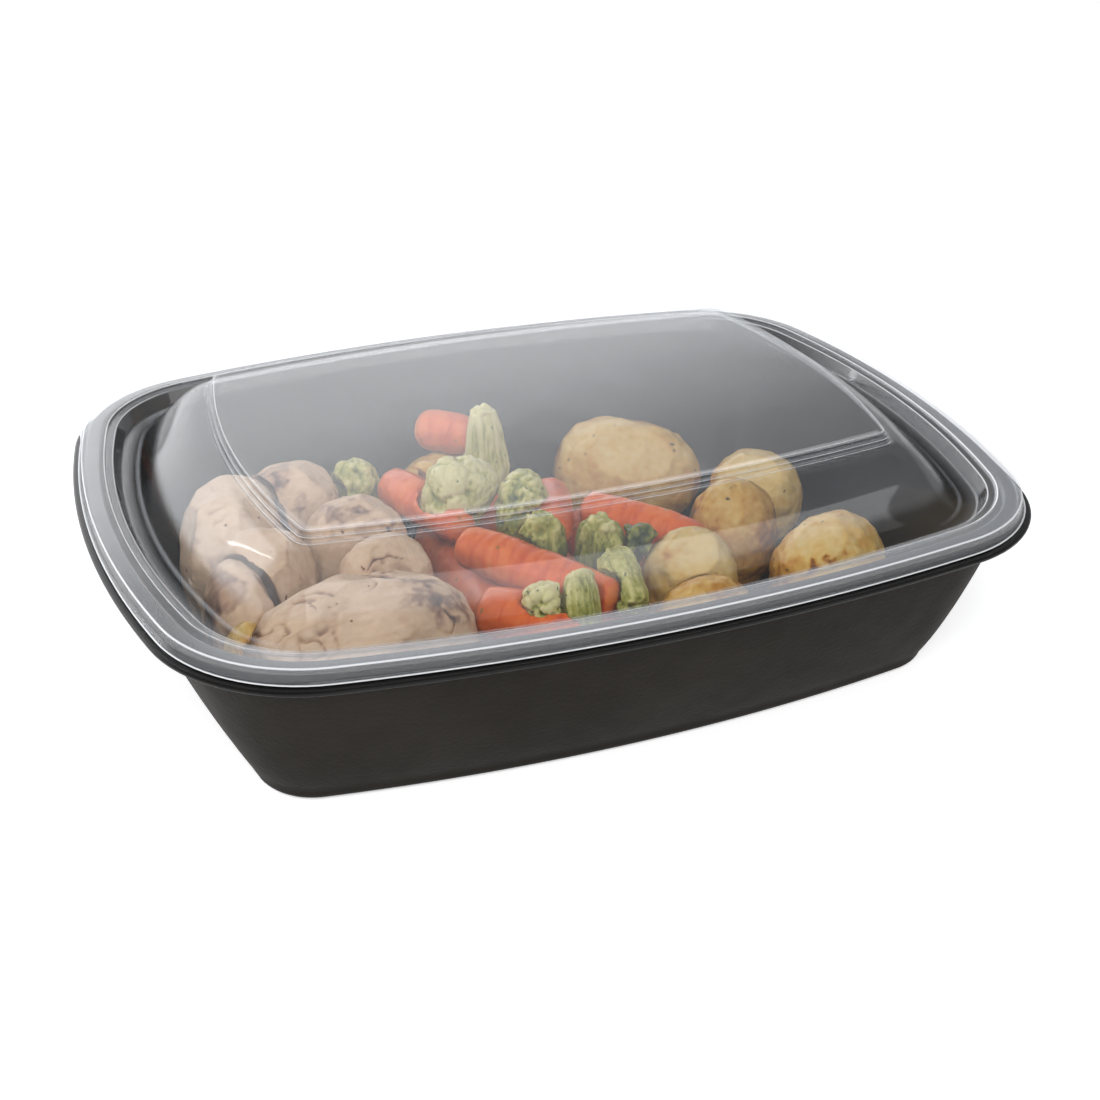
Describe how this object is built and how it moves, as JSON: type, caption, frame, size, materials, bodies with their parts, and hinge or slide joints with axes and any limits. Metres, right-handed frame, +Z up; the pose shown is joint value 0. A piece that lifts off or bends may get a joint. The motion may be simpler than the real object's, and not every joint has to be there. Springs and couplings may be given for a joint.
{
  "type": "takeaway meal container",
  "caption": "Black rectangular takeaway tray with bowed sides and a clear domed press-fit lid, holding sliced roast chicken, carrots, green vegetables and roast potatoes.",
  "frame": {"origin": "centre of the container's outline, on the flat underside of the tray", "axes": "+X along the long side, +Y along the short side, +Z up through the lid"},
  "size_m": [0.2292, 0.179, 0.0616],
  "materials": {
    "tray_plastic": "satin",
    "lid_plastic": "gloss",
    "chicken": "satin",
    "carrot": "satin",
    "green": "satin",
    "potato": "satin"
  },
  "bodies": {
    "root": {"tray": "tray_plastic", "lid": "lid_plastic", "carrot_low_1": "carrot", "carrot_low_2": "carrot", "carrot_low_3": "carrot", "potato_low": "potato", "chicken_front": "chicken", "chicken_left": "chicken", "chicken_corner": "chicken", "chicken_middle": "chicken", "chicken_back": "chicken", "chicken_right": "chicken", "chicken_low": "chicken", "stalk_front": "green", "floret_front": "green", "floret_middle": "green", "carrot_diagonal": "carrot", "carrot_front": "carrot", "carrot_left": "carrot", "carrot_upright": "carrot", "carrot_right": "carrot", "carrot_far": "carrot", "potato_far": "potato", "potato_right": "potato", "potato_side": "potato", "potato_middle": "potato", "potato_front": "potato", "potato_pale": "potato", "potato_corner": "potato", "floret_far": "green", "floret_dark": "green", "stalk_left": "green", "stalk_right": "green", "stalk_low": "green", "leaf_dark": "green", "floret_back": "green", "potato_small": "potato"}
  },
  "joints": []
}
